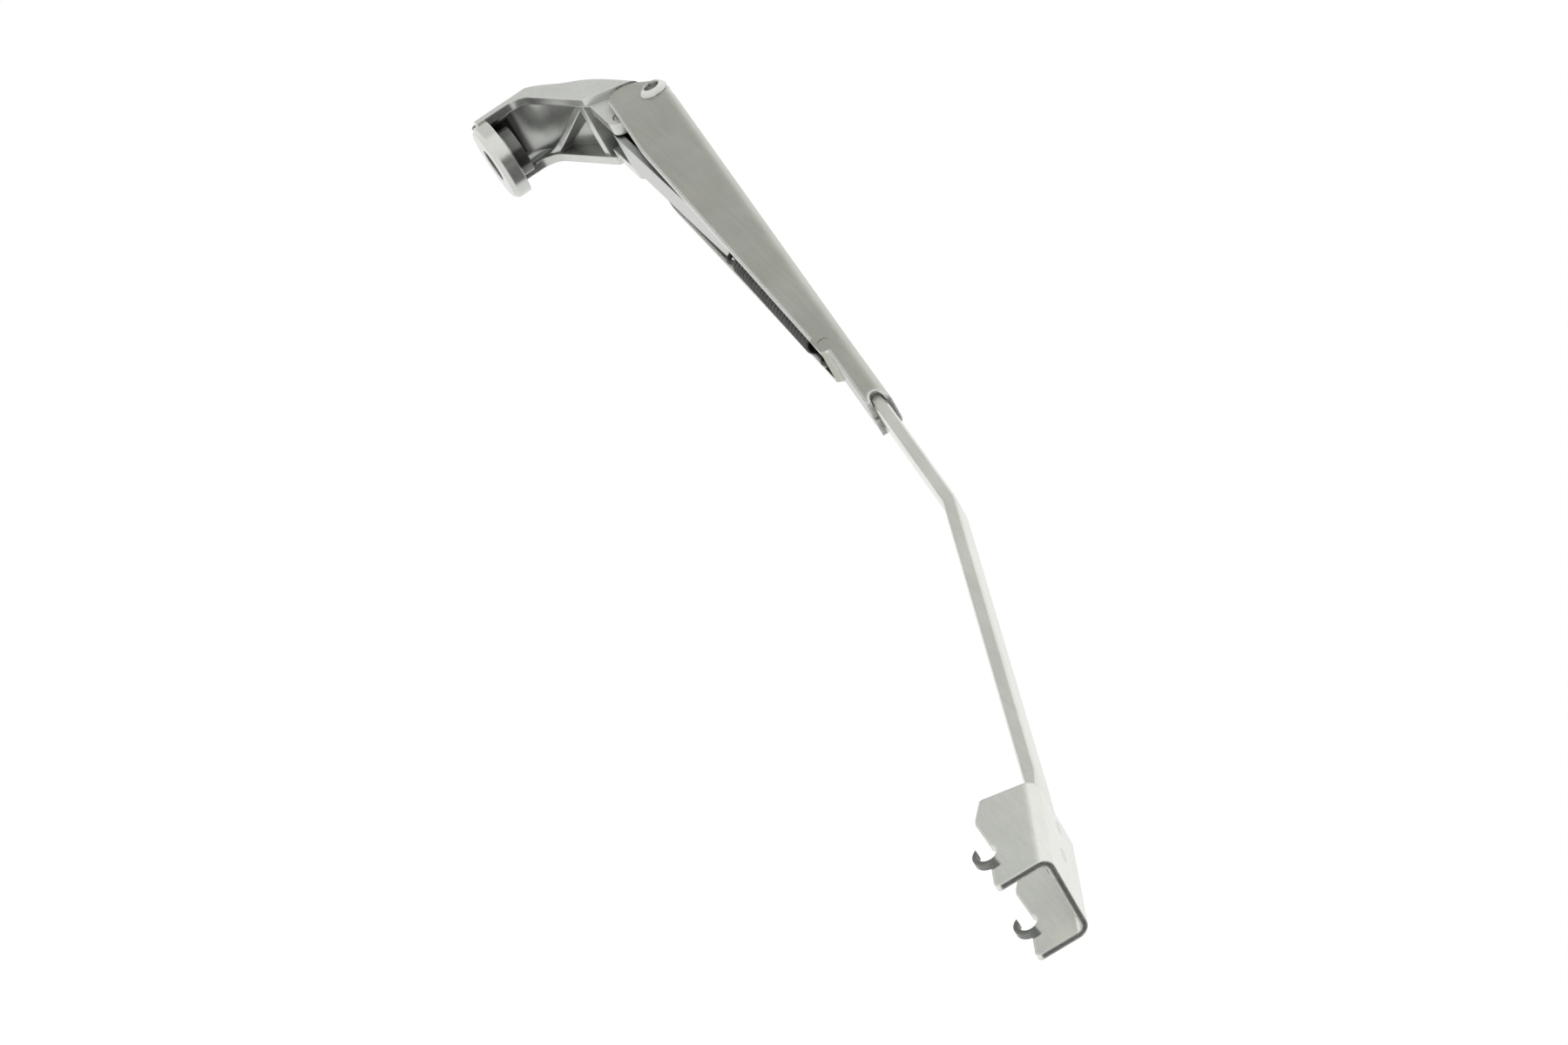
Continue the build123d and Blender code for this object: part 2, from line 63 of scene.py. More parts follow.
# Middles of the pins that lie across the arm, and of the seat of the blade's own pin
LINK_PIN: Point = (0.031, 0.0, 0.0255)
HINGE_PIN: Point = (0.0326, 0.0, 0.0351)
ANCHOR_PIN: Point = (0.158102, 0.0, 0.019997)
BLADE_PIN: Point = (0.3278, 0.0, -0.0258)

# 1 on the two axes across a pin along Y, and across the spindle along Z
ACROSS_PIN: Point = (1.0, 0.0, 1.0)
ACROSS_SPINDLE: Point = (1.0, 1.0, 0.0)


class Socket:
    """A shader socket whose arithmetic adds Math nodes."""

    def __init__(self, graph: "ShaderGraph", socket: bpy.types.NodeSocket) -> None:
        """Keeps the graph and the socket that it wraps."""
        self.graph = graph
        self.socket = socket

    def _math(self, operation: str, *values: "Socket | float") -> "Socket":
        """Adds one Math node.

        Args:
            operation: Name of the operation.
            values: Sockets or numbers, in the node's order.

        Returns:
            The node's result.
        """
        inputs = dict(enumerate(values))
        return self.graph.out(self.graph.node("ShaderNodeMath", inputs, operation=operation))

    def __add__(self, other: "Socket | float") -> "Socket":
        """Sum."""
        return self._math("ADD", self, other)

    def __radd__(self, other: float) -> "Socket":
        """Sum with a number in front."""
        return self._math("ADD", other, self)

    def __sub__(self, other: "Socket | float") -> "Socket":
        """Difference."""
        return self._math("SUBTRACT", self, other)

    def __rsub__(self, other: float) -> "Socket":
        """Difference with a number in front."""
        return self._math("SUBTRACT", other, self)

    def __mul__(self, other: "Socket | float") -> "Socket":
        """Product."""
        return self._math("MULTIPLY", self, other)

    def __rmul__(self, other: float) -> "Socket":
        """Product with a number in front."""
        return self._math("MULTIPLY", other, self)

    def clamped(self) -> "Socket":
        """The value kept between 0 and 1."""
        return self._math("MINIMUM", self._math("MAXIMUM", self, 0.0), 1.0)


class Blend(Enum):
    """What a Mix node mixes: its data type, the input of its first value and its output."""

    COLOURS = ("RGBA", 6, 2)
    DIRECTIONS = ("VECTOR", 4, 1)


class ShaderGraph:
    """The node tree of one material or world, emptied and ready to fill."""

    def __init__(self, owner: bpy.types.Material | bpy.types.World) -> None:
        """Takes over a material's or a world's nodes.

        Args:
            owner: The material or the world.
        """
        owner.use_nodes = True
        self.tree = owner.node_tree
        self.tree.nodes.clear()

    def node(self, kind: str, inputs: dict | None = None, **settings: object) -> bpy.types.Node:
        """Adds a node.

        Args:
            kind: Type name of the node.
            inputs: Values or sockets by the name or number of the input.
            settings: Properties of the node.

        Returns:
            The node.
        """
        node = self.tree.nodes.new(kind)
        for name, value in settings.items():
            setattr(node, name, value)
        for name, value in (inputs or {}).items():
            self.feed(node.inputs[name], value)
        return node

    def feed(self, target: bpy.types.NodeSocket, value: object) -> None:
        """Links a socket to an input, or sets the input's value.

        Args:
            target: The input.
            value: A socket, a number, or a colour or vector of three numbers.
        """
        if isinstance(value, Socket):
            self.tree.links.new(value.socket, target)
        elif isinstance(value, tuple) and len(value) == 3 and target.type == "RGBA":
            target.default_value = (*value, 1.0)
        else:
            target.default_value = value

    def out(self, node: bpy.types.Node, name: str | int = 0) -> Socket:
        """An output of a node."""
        return Socket(self, node.outputs[name])

    def place(self, stretch: Point = (1.0, 1.0, 1.0), turn: Point = (0.0, 0.0, 0.0)) -> Socket:
        """Object coordinates, turned and then scaled along each axis.

        Args:
            stretch: Scale along each axis.
            turn: Angles about the axes in radians.

        Returns:
            The coordinates.
        """
        where = self.out(self.node("ShaderNodeTexCoord"), "Object")
        inputs = {"Vector": where, "Rotation": turn, "Scale": stretch}
        return self.out(self.node("ShaderNodeMapping", inputs))

    def noise(self, vector: Socket, scale: float, detail: float, rough: float = 0.55) -> Socket:
        """Noise between 0 and 1.

        Args:
            vector: Where it is read.
            scale: Cells per unit of the vector.
            detail: Number of finer layers.
            rough: How strong each layer is beside the one before.

        Returns:
            The noise.
        """
        inputs = {"Vector": vector, "Scale": scale, "Detail": detail, "Roughness": rough}
        return self.out(self.node("ShaderNodeTexNoise", inputs))

    def blend(self, what: Blend, share: Socket, low: object, high: object) -> Socket:
        """A colour or direction between two.

        Args:
            what: Which of the two it is.
            share: How much of the second it holds, from 0 to 1.
            low: The first colour or direction.
            high: The second.

        Returns:
            The colour or direction.
        """
        data_type, first, result = what.value
        inputs = {0: share, first: low, first + 1: high}
        return self.out(self.node("ShaderNodeMix", inputs, data_type=data_type), result)

    def tint(self, share: Socket, low: Colour | Socket, high: Colour | Socket) -> Socket:
        """A colour between two colours."""
        return self.blend(Blend.COLOURS, share, low, high)

    def turned(self, share: Socket, first: Socket, second: Socket) -> Socket:
        """A direction between two directions."""
        return self.blend(Blend.DIRECTIONS, share, first, second)

    def axis(self, vector: Socket, name: str) -> Socket:
        """One coordinate of a vector."""
        return self.out(self.node("ShaderNodeSeparateXYZ", {"Vector": vector}), name)

    def plain_normal(self) -> Socket:
        """The surface's own normal."""
        return self.out(self.node("ShaderNodeNewGeometry"), "Normal")

    def soft_edges(self, radius: float) -> Socket:
        """The normal with edges softened by a radius."""
        return self.out(self.node("ShaderNodeBevel", {"Radius": radius}, samples=4))

    def near_edge(self, softened: Socket, rise: float = 5.0) -> Socket:
        """0 on open surfaces, rising to 1 at an edge.

        It is 1 less the cosine between the surface's normal and the softened one,
        times the rise.

        Args:
            softened: The normal with softened edges.
            rise: How fast it rises as the two normals part.

        Returns:
            The share.
        """
        inputs = {0: self.plain_normal(), 1: softened}
        cosine = self.out(self.node("ShaderNodeVectorMath", inputs, operation="DOT_PRODUCT"), "Value")
        return ((1.0 - cosine) * rise).clamped()

    def away(self, flat: Point, spot: Point, reach: float, rim: float = 0.00025) -> Socket:
        """0 within a reach of an axis through a spot, and 1 outside it.

        Args:
            flat: 1 on the two axes that the distance is taken in, 0 on the third.
            spot: A point on the axis.
            reach: Radius round the axis.
            rim: Width over which it rises.

        Returns:
            The share.
        """
        middle = tuple(along * share for along, share in zip(spot, flat))
        inputs = {0: self.place(flat), 1: middle}
        distance = self.out(self.node("ShaderNodeVectorMath", inputs, operation="DISTANCE"), "Value")
        return ((distance - reach) * (1.0 / rim)).clamped()

    def shelter(self, reach: float) -> Socket:
        """0 on open surfaces, rising to 1 deep in a recess."""
        node = self.node("ShaderNodeAmbientOcclusion", {"Distance": reach}, samples=4)
        return (1.0 - self.out(node, "AO")).clamped()

    def bump(self, height: Socket, distance: float, strength: float, normal: Socket) -> Socket:
        """A normal from a height over another normal.

        Args:
            height: The height, from 0 to 1.
            distance: What a height of 1 stands for, in metres.
            strength: Share of the relief that shows.
            normal: The normal under it.

        Returns:
            The normal.
        """
        inputs = {"Height": height, "Distance": distance, "Strength": strength, "Normal": normal}
        return self.out(self.node("ShaderNodeBump", inputs))


@dataclass(frozen=True)
class PaintedDarkZone:
    """A painted dark zone round a spindle or a pin, in the near-black colour of painted shade.

    Attributes:
        flat: 1 on the two axes across the spindle or pin, 0 along it.
        spot: A point on its axis.
        reach: Radius of the dark zone.
        bottom: Height where the dark zone starts.
        top: Height where it ends.
        share: How far it takes that colour.
        rim: Height over which it comes in and ends.
    """

    flat: Point
    spot: Point
    reach: float
    bottom: float
    top: float
    share: float = 0.8
    rim: float = 0.0005

    def cover(self, graph: ShaderGraph) -> Socket:
        """How far each place takes the colour of painted shade.

        Args:
            graph: The material's nodes.

        Returns:
            The share.
        """
        outside = graph.away(self.flat, self.spot, self.reach)
        height = graph.axis(graph.place(), "Z")
        above = ((height - self.bottom) * (1.0 / self.rim)).clamped()
        over = ((height - self.top) * (1.0 / self.rim)).clamped()
        return (1.0 - outside) * (above - over) * self.share


@dataclass(frozen=True)
class Texture:
    """How noise, recesses and relief act on every metal of the arm.

    Attributes:
        middle: Middle value of a noise.
        broad: How far the mottling moves the colour.
        fine: How far the grain moves it.
        patch_size: Cells of the warm patches, as a share of the mottling's.
        patch_from: Value of their noise where the warm colour starts.
        patch_rise: How fast it comes in past that value.
        recess_rise: How fast painted shade comes in with the depth of a recess.
        recess_from: What is taken off first, so that open surfaces stay unshaded.
        relief: Share of the grain's relief that shows.
        flush_reach: Radius round the flush anchor pin where edges stay sharp.
    """

    middle: float = 0.5
    broad: float = 1.6
    fine: float = 0.9
    patch_size: float = 0.6
    patch_from: float = 0.45
    patch_rise: float = 4.0
    recess_rise: float = 1.5
    recess_from: float = 0.25
    relief: float = 0.35
    flush_reach: float = 0.0034


@dataclass(frozen=True)
class Metal:
    """A bare metal finish with drawn or cast texture.

    Attributes:
        name: Name of the material.
        dark: Colour in the low places of the mottling.
        light: Colour in the high places.
        roughness: Mean roughness.
        spread: How far the roughness varies.
        grain: Stretch of the fine texture along X, Y and Z, in cells per metre.
        turn: Turn of the fine texture about Y, in degrees.
        grain_depth: Height of the fine texture in metres.
        mottle: Cells per metre of the broad mottling.
        edge: Radius by which edges are softened, in metres.
        metallic: Share of bare metal.
        warm: Colour that the metal drifts to in broad patches.
        drift: How far it drifts.
        edge_highlight_colour: Colour of the painted highlight at edges.
        edge_highlight: How far the edges take that colour.
        recess_shade: How far recesses take the painted shade, over 1 for all of it even in a shallow one.
        recess_shade_reach: How near a recess's walls are, in metres.
        dark_zone: The painted dark zone, where there is one.
        texture: How noise, recesses and relief act.
    """

    name: str
    dark: Colour
    light: Colour
    roughness: float
    spread: float
    grain: Point
    turn: float = 0.0
    grain_depth: float = 0.00002
    mottle: float = 60.0
    edge: float = 0.00025
    metallic: float = 0.92
    warm: Colour = (0.56, 0.54, 0.46)
    drift: float = 0.25
    edge_highlight_colour: Colour = (0.88, 0.88, 0.86)
    edge_highlight: float = 0.5
    recess_shade: float = 0.5
    recess_shade_reach: float = 0.008
    dark_zone: PaintedDarkZone | None = None
    texture: Texture = Texture()

    def patchy(self, graph: ShaderGraph, broad: Socket, fine: Socket) -> Socket:
        """The metal's own colour, mottled between dark and light, with warm patches.

        Args:
            graph: The material's nodes.
            broad: The mottling's noise, less its middle.
            fine: The grain's noise, less its middle.

        Returns:
            The colour.
        """
        texture = self.texture
        share = (broad * texture.broad + fine * texture.fine + texture.middle).clamped()
        plain = graph.tint(share, self.dark, self.light)
        patches = graph.noise(graph.place(), self.mottle * texture.patch_size, 2.0)
        warmth = ((patches - texture.patch_from) * texture.patch_rise).clamped() * self.drift
        return graph.tint(warmth, plain, self.warm)

    def softened(self, graph: ShaderGraph) -> Socket:
        """The normal with softened edges, but the surface's own round the flush anchor pin.

        Args:
            graph: The material's nodes.

        Returns:
            The normal.
        """
        away = graph.away(ACROSS_PIN, ANCHOR_PIN, self.texture.flush_reach)
        return graph.turned(away, graph.plain_normal(), graph.soft_edges(self.edge))

    def painted_shade_share(self, graph: ShaderGraph) -> Socket:
        """How far each place takes painted shade: in recesses by ambient occlusion, and in the dark zone.

        Args:
            graph: The material's nodes.

        Returns:
            The share.
        """
        # Painted shade: ambient occlusion darkens recesses
        depth = graph.shelter(self.recess_shade_reach) * self.texture.recess_rise - self.texture.recess_from
        recesses = depth.clamped() * self.recess_shade
        if self.dark_zone is None:
            return recesses
        return (recesses + self.dark_zone.cover(graph)).clamped()

    def material(self) -> bpy.types.Material:
        """Builds the material: patchy colour, fine grain in roughness and relief, a painted highlight on
        edges and painted shade in recesses.

        Returns:
            The material.
        """
        made = bpy.data.materials.new(self.name)
        graph = ShaderGraph(made)
        middle = self.texture.middle
        lay = (0.0, math.radians(self.turn), 0.0)
        broad = graph.noise(graph.place(), self.mottle, 4.0) - middle
        grain = graph.noise(graph.place(self.grain, lay), 1.0, 3.0, 0.6)
        fine = grain - middle
        normal = self.softened(graph)
        own_colour = self.patchy(graph, broad, fine)
        # Painted highlight: edges take a near-white colour where the softened normal parts from the
        # surface's
        edge_lit = graph.tint(graph.near_edge(normal) * self.edge_highlight, own_colour, self.edge_highlight_colour)
        # Base Color: painted shade over the mottled colour with its painted edge highlight
        shader = graph.node(
            "ShaderNodeBsdfPrincipled",
            {
                "Base Color": graph.tint(self.painted_shade_share(graph), edge_lit, SHADE_COLOUR),
                "Metallic": self.metallic,
                "Roughness": self.roughness + fine * self.spread + broad * self.spread,
                "Normal": graph.bump(grain, self.grain_depth, self.texture.relief, normal),
            },
        )
        graph.node("ShaderNodeOutputMaterial", {"Surface": graph.out(shader)})
        return made


class Finish(Enum):
    """The finishes of the arm's pieces."""

    HEAD = Metal(
        "cast_alloy",
        dark=(0.60, 0.615, 0.58),
        light=(0.74, 0.755, 0.72),
        roughness=0.24,
        spread=0.10,
        grain=(900.0, 900.0, 900.0),
        grain_depth=0.00001,
        mottle=45.0,
        edge=0.0005,
        metallic=0.72,
        # Painted shade in the head's cavity and recesses
        recess_shade=0.65,
        recess_shade_reach=0.012,
        # Painted shade and old oily dirt: the sleeve round the spindle is darkened
        dark_zone=PaintedDarkZone(ACROSS_SPINDLE, (0.0, 0.0, 0.0), reach=0.0083, bottom=0.0024, top=0.007),
    )
    ARM = Metal(
        "arm_steel",
        dark=(0.43, 0.44, 0.385),
        light=(0.53, 0.54, 0.485),
        roughness=0.25,
        spread=0.10,
        grain=(60.0, 900.0, 1400.0),
        turn=-6.25,
        grain_depth=0.000001,
        edge=0.0014,
        # Painted highlight: a near-white line along the channel's edges
        edge_highlight=0.95,
        edge_highlight_colour=(0.97, 0.97, 0.96),
        drift=0.4,
    )
    BAR = Metal(
        "bar_steel",
        dark=(0.70, 0.705, 0.65),
        light=(0.82, 0.825, 0.765),
        roughness=0.27,
        spread=0.12,
        grain=(80.0, 1200.0, 1200.0),
        turn=-17.15,
        grain_depth=0.0000006,
        drift=0.1,
    )
    SADDLE = Metal(
        "saddle_steel",
        dark=(0.72, 0.735, 0.68),
        light=(0.83, 0.845, 0.79),
        roughness=0.26,
        spread=0.12,
        grain=(120.0, 900.0, 1200.0),
        turn=-21.15,
        mottle=90.0,
        grain_depth=0.0000004,
        edge=0.0006,
        drift=0.15,
        # Light painted shade in the saddle's recesses
        recess_shade=0.2,
        # Painted dark reflection: the hooks round the blade pin's seat are darkened
        dark_zone=PaintedDarkZone(ACROSS_PIN, BLADE_PIN, reach=0.0042, bottom=-1.0, top=-0.0255),
    )
    PIN = Metal(
        "pin_steel",
        dark=(0.58, 0.585, 0.55),
        light=(0.74, 0.745, 0.71),
        roughness=0.28,
        spread=0.12,
        grain=(900.0, 900.0, 900.0),
        mottle=200.0,
        grain_depth=0.000002,
        # Strong painted shade in the hinge rivet's recesses and round the pins
        recess_shade=1.8,
        recess_shade_reach=0.004,
    )
    LINK = Metal(
        "link_steel",
        dark=(0.42, 0.435, 0.41),
        light=(0.54, 0.555, 0.53),
        roughness=0.30,
        spread=0.14,
        grain=(90.0, 1100.0, 1100.0),
        mottle=80.0,
    )
    LATCH = Metal(
        "latch_steel",
        dark=(0.30, 0.31, 0.24),
        light=(0.42, 0.43, 0.35),
        roughness=0.42,
        spread=0.16,
        grain=(700.0, 700.0, 700.0),
        mottle=150.0,
    )
    SPRING = Metal(
        "spring_steel",
        dark=(0.05, 0.05, 0.047),
        light=(0.11, 0.11, 0.105),
        roughness=0.36,
        spread=0.16,
        grain=(500.0, 500.0, 500.0),
        mottle=300.0,
        edge=0.0001,
        drift=0.0,
        edge_highlight=0.0,
    )


DRESS: dict[str, Finish] = {
    "head_casting": Finish.HEAD,
    "retaining_latch": Finish.LATCH,
    "link_pin": Finish.PIN,
    "hinge_pin": Finish.PIN,
    "arm_channel": Finish.ARM,
    "spring_anchor_pin": Finish.ARM,
    "rod": Finish.BAR,
    "blade_saddle": Finish.SADDLE,
    "saddle_rivets": Finish.PIN,
    "spring_link": Finish.LINK,
    "tension_spring": Finish.SPRING,
}


class Wardrobe:
    """Makes each finish once and puts it on pieces."""

    def __init__(self) -> None:
        """Starts with no material made."""
        self.made: dict[Finish, bpy.types.Material] = {}

    def dress(self, piece: bpy.types.Object, finish: Finish) -> None:
        """Gives a piece one finish in place of what it had.

        Args:
            piece: A CAD node's object or a new piece.
            finish: The finish to put on.
        """
        if finish not in self.made:
            self.made[finish] = finish.value.material()
        piece.data.materials.clear()
        piece.data.materials.append(self.made[finish])


def skin(rings: int, sides: int) -> np.ndarray:
    """Triangles over rings of points, closed by one point before and one after them.

    Args:
        rings: Number of rings, whose points come first, ring by ring.
        sides: Number of points in a ring.

    Returns:
        Triangles by vertex number. The two closing points are the last two vertices.
    """
    row, column = np.meshgrid(np.arange(rings - 1), np.arange(sides), indexing="ij")
    here = row * sides + column
    beside = row * sides + (column + 1) % sides
    first_half = np.stack([here, beside, beside + sides], -1).reshape(-1, 3)
    second_half = np.stack([here, beside + sides, here + sides], -1).reshape(-1, 3)
    rim = np.arange(sides)
    ahead = (rim + 1) % sides
    last = (rings - 1) * sides
    first_cap = np.stack([np.full(sides, rings * sides), ahead, rim], -1)
    last_cap = np.stack([np.full(sides, rings * sides + 1), last + rim, last + ahead], -1)
    return np.concatenate([first_half, second_half, first_cap, last_cap])


def tube(path: np.ndarray, across: np.ndarray, radius: float, sides: int, crown: float = 0.4) -> Shell:
    """A round wire along a path, closed by a point at each end.

    Each ring is the path's point plus radius times (cosine of the angle times
    the normal plus sine of the angle times the binormal), where the normal is the
    given direction made square to the path's tangent.

    Args:
        path: Points along the wire, n by 3.
        across: A direction nowhere parallel to the tangent, 3 or n by 3.
        radius: Radius of the wire.
        sides: Number of sides of a ring.
        crown: How far an end's point stands out, as a share of the radius.

    Returns:
        Vertices, and triangles by vertex number.
    """
    tangent = np.gradient(path, axis=0)
    tangent /= np.linalg.norm(tangent, axis=1, keepdims=True)
    normal = across - (tangent * across).sum(axis=1, keepdims=True) * tangent
    normal /= np.linalg.norm(normal, axis=1, keepdims=True)
    binormal = np.cross(tangent, normal)
    angle = np.linspace(0.0, 2.0 * np.pi, sides, endpoint=False)[None, :, None]
    ring = np.cos(angle) * normal[:, None] + np.sin(angle) * binormal[:, None]
    points = (path[:, None] + radius * ring).reshape(-1, 3)
    stand_out = crown * radius
    caps = np.stack([path[0] - stand_out * tangent[0], path[-1] + stand_out * tangent[-1]])
    return np.concatenate([points, caps]), skin(len(path), sides)


def piece_from(name: str, shells: list[Shell]) -> bpy.types.Object:
    """One smooth mesh object from closed shells.

    Args:
        name: Name of the piece.
        shells: Vertices and triangles of each shell.

    Returns:
        The object, at the origin, in the scene.
    """
    counts = np.cumsum([0] + [len(points) for points, _ in shells])
    points = np.concatenate([points for points, _ in shells])
    faces = np.concatenate([faces + start for (_, faces), start in zip(shells, counts)])
    mesh = bpy.data.meshes.new(name)
    mesh.from_pydata(points.tolist(), [], faces.tolist())
    mesh.shade_smooth()
    made = bpy.data.objects.new(name, mesh)
    bpy.context.scene.collection.objects.link(made)
    return made


@dataclass
class CoilSpring:
    """The close-wound tension spring on the line from the link pin to its anchor.

    Attributes:
        start: Distance along the line to the first turn.
        end: Distance along the line to the last turn.
        turns: Number of turns.
        radius: Outer radius.
        wire: Radius of the wire.
        front_ring: Distance along the line to the middle of the front hook.
        rear_ring_radius: Radius of the rear hook's ring at the wire's middle.
        hook_turn: How far a hook's ring goes round, in degrees.
        sides: Number of sides round the wire.
        turn_points: Number of points in one turn.
        ring_points: Number of points in a hook's ring.
        run_points: Number of points from the coil to a hook's ring.
    """

    start: float = 0.0748
    end: float = 0.11992
    turns: float = 26.0
    radius: float = 0.0029
    wire: float = 0.0006
    front_ring: float = 0.07108
    rear_ring_radius: float = 0.00195
    hook_turn: float = 262.0
    sides: int = 12
    turn_points: int = 26
    ring_points: int = 60
    run_points: int = 12

    def frame(self) -> tuple[np.ndarray, np.ndarray, np.ndarray, np.ndarray]:
        """The line of the pull, as three directions square to each other.

        Returns:
            Origin, direction along the pull, sideways direction and upward direction.
        """
        start = np.array(LINK_PIN)
        along = np.array(ANCHOR_PIN) - start
        along /= np.linalg.norm(along)
        side = np.array([0.0, 1.0, 0.0])
        return start, along, side, np.cross(along, side)

    def coil(self) -> np.ndarray:
        """Points of the helix: along the pull with the angle, round it at the wire's radius.

        Returns:
            The points, n by 3.
        """
        start, along, side, up = self.frame()
        share = np.linspace(0.0, 1.0, int(self.turns * self.turn_points) + 1)[:, None]
        angle = 2.0 * np.pi * self.turns * share
        middle = self.radius - self.wire
        distance = self.start + (self.end - self.start) * share
        return start + along * distance + middle * (np.cos(angle) * up + np.sin(angle) * side)

    def hook(self, ring_at: float, ring_radius: float, coil_at: float, way: float) -> np.ndarray:
        """Points of a hook: a straight run from the coil's top, then most of a ring.

        Args:
            ring_at: Distance along the pull to the ring's middle.
            ring_radius: Radius of the ring at the wire's middle.
            coil_at: Distance along the pull where the hook leaves the coil.
            way: 1 where the ring turns back at the link, -1 at the anchor.

        Returns:
            The points, n by 3.
        """
        start, along, _, up = self.frame()
        round_ring = np.radians(np.linspace(0.0, self.hook_turn, self.ring_points))
        angle = np.radians(90.0) + way * round_ring
        ring = np.stack([ring_at + ring_radius * np.cos(angle), ring_radius * np.sin(angle)], -1)
        share = np.linspace(0.0, 1.0, self.run_points, endpoint=False)[:, None]
        leave = np.array([[coil_at, self.radius - self.wire]])
        run = leave + (ring[:1] - leave) * share
        flat = np.concatenate([run, ring])
        return start + flat[:, :1] * along + flat[:, 1:] * up

    def build(self, wardrobe: Wardrobe) -> bpy.types.Object:
        """Makes the spring from its coil and two hooks, and has it ride with the link.

        Args:
            wardrobe: Puts on the finish.

        Returns:
            The spring.
        """
        _, along, side, _ = self.frame()
        pull = math.dist(LINK_PIN, ANCHOR_PIN)
        front = self.hook(self.front_ring, self.radius - self.wire, self.start + self.wire, 1.0)
        rear = self.hook(pull, self.rear_ring_radius, self.end - self.wire, -1.0)
        wires = ((self.coil(), along), (front, side), (rear, side))
        shells = [tube(path, across, self.wire, self.sides) for path, across in wires]
        spring = piece_from("coil_spring", shells)
        wardrobe.dress(spring, Finish.SPRING)
        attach(spring, "link")
        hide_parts("tension_spring")
        return spring


@dataclass
class HingeRivet:
    """The hinge rivet with a round dome and a small recess at each end.

    Attributes:
        shank: Radius between the heads.
        head: Radius of the heads.
        inner: Distance from the middle to the flat side of a head.
        outer: Distance from the middle to the top of a dome.
        recess: Radius of the recess in a dome.
        recess_depth: Depth of that recess.
        floor_round: Rounding of the recess's floor, as a share of its radius and depth.
        lip: Radius where the dome starts, over the recess's.
        lip_round: Rounding of the recess's rim, as a share of its depth.
        dome_points: Number of points on a dome's arc.
        sides: Number of sides round the rivet.
    """

    shank: float = 0.002
    head: float = 0.0034
    inner: float = 0.0095
    outer: float = 0.0114
    recess: float = 0.0018
    recess_depth: float = 0.0018
    floor_round: float = 0.1
    lip: float = 1.12
    lip_round: float = 0.08
    dome_points: int = 22
    sides: int = 72

    def profile(self) -> np.ndarray:
        """Radius and place along the axis, from one dome's top to the other's.

        A dome is an arc of the circle through its top and its rim. The circle's radius
        is the head's radius squared plus the dome's height squared, over twice the height.

        Returns:
            The points, n by 2.
        """
        height = self.outer - self.inner
        arc_radius = (self.head**2 + height**2) / (2.0 * height)
        first = math.asin(self.recess * self.lip / arc_radius)
        last = math.asin(self.head / arc_radius)
        angle = np.linspace(first, last, self.dome_points)
        dome = np.stack([arc_radius * np.sin(angle), self.outer - arc_radius * (1.0 - np.cos(angle))], -1)
        floor = self.outer - self.recess_depth
        floor_rim = self.recess * (1.0 - self.floor_round)
        rise = floor + self.floor_round * self.recess_depth
        wall = dome[0, 1] - self.lip_round * self.recess_depth
        hollow = np.array([[floor_rim, floor], [self.recess, rise], [self.recess, wall]])
        neck = np.array([[self.shank, self.inner]])
        half = np.concatenate([hollow, dome, neck])
        return np.concatenate([half, half[::-1] * np.array([1.0, -1.0])])

    def build(self, wardrobe: Wardrobe) -> bpy.types.Object:
        """Turns the profile about the hinge's axis and has it ride with the arm.

        A point's X and Z are its radius times the cosine and the sine of the angle, and
        its Y is its place along the axis, all from the hinge pin's middle.

        Args:
            wardrobe: Puts on the finish.

        Returns:
            The rivet.
        """
        profile = self.profile()
        angle = np.linspace(0.0, 2.0 * np.pi, self.sides, endpoint=False)
        round_x = profile[:, :1] * np.cos(angle)
        round_z = profile[:, :1] * np.sin(angle)
        along = np.repeat(profile[:, 1:], self.sides, axis=1)
        points = np.stack([round_x, along, round_z], -1).reshape(-1, 3)
        floor = self.outer - self.recess_depth
        floors = np.array([[0.0, floor, 0.0], [0.0, -floor, 0.0]])
        places = np.concatenate([points, floors]) + np.array(HINGE_PIN)
        rivet = piece_from("domed_hinge_rivet", [(places, skin(len(profile), self.sides))])
        wardrobe.dress(rivet, Finish.PIN)
        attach(rivet, "arm")
        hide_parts("hinge_pin")
        return rivet


@dataclass
class PhotoCamera:
    """The camera at the photograph's place, from a fit to points of the arm.

    Attributes:
        right: Direction to the right of the picture.
        up: Direction up in the picture.
        place: Position in metres.
        lens: Focal length in millimetres.
        sensor: Width of the sensor in millimetres.
        nearest: Distance from which things show, in metres.
        farthest: Distance up to which they show.
    """

    right: Point = (0.3824, 0.4278, 0.8190)
    up: Point = (-0.4027, -0.7206, 0.5644)
    place: Point = (0.8087, -0.4004, -0.0864)
    lens: float = 87.1
    sensor: float = 36.0
    nearest: float = 0.01
    farthest: float = 50.0

    def build(self) -> bpy.types.Object:
        """Adds the camera and makes it the scene's.

        Returns:
            The camera.
        """
        right = Vector(self.right).normalized()
        back = right.cross(Vector(self.up)).normalized()
        up = back.cross(right)
        data = bpy.data.cameras.new("photo_camera")
        data.lens = self.lens
        data.sensor_width = self.sensor
        data.clip_start = self.nearest
        data.clip_end = self.farthest
        camera = bpy.data.objects.new("photo_camera", data)
        bpy.context.scene.collection.objects.link(camera)
        turn = Matrix((right, up, back)).transposed().to_4x4()
        camera.matrix_world = Matrix.Translation(Vector(self.place)) @ turn
        bpy.context.scene.camera = camera
        return camera


